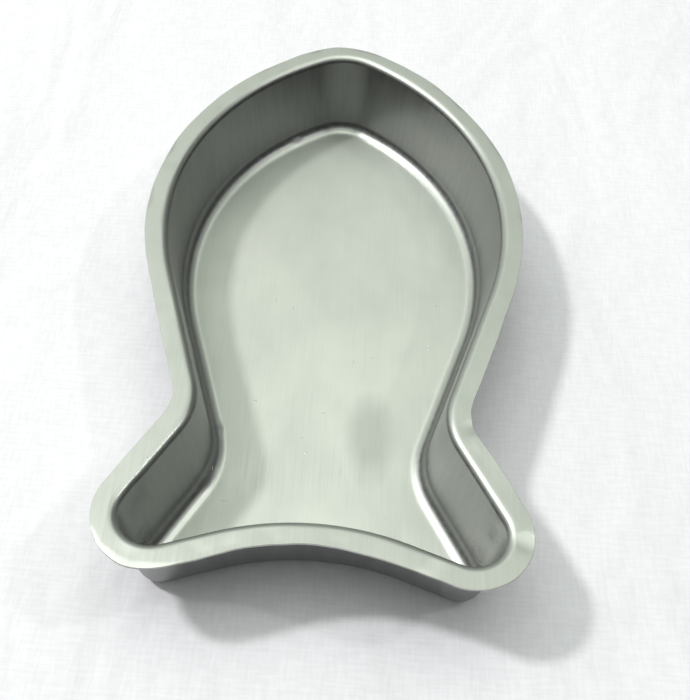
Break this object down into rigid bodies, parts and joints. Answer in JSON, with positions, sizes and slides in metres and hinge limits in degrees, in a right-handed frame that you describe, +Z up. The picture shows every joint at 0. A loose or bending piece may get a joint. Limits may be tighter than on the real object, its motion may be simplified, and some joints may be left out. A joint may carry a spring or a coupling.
{
  "type": "fish-shaped baking tin",
  "caption": "Fish-shaped baking tin drawn from one sheet of plain aluminium, with drafted walls, a flat floor and a flat flange around the rim.",
  "frame": {"origin": "underside of the flat floor, at the middle of the overall length and width", "axes": "+Z up through the open side, +Y towards the fish's nose, X across its body"},
  "size_m": [0.151, 0.27, 0.039],
  "materials": {
    "aluminium": "satin, as pressed"
  },
  "bodies": {
    "root": {"pressed_tin": "aluminium"}
  },
  "joints": []
}
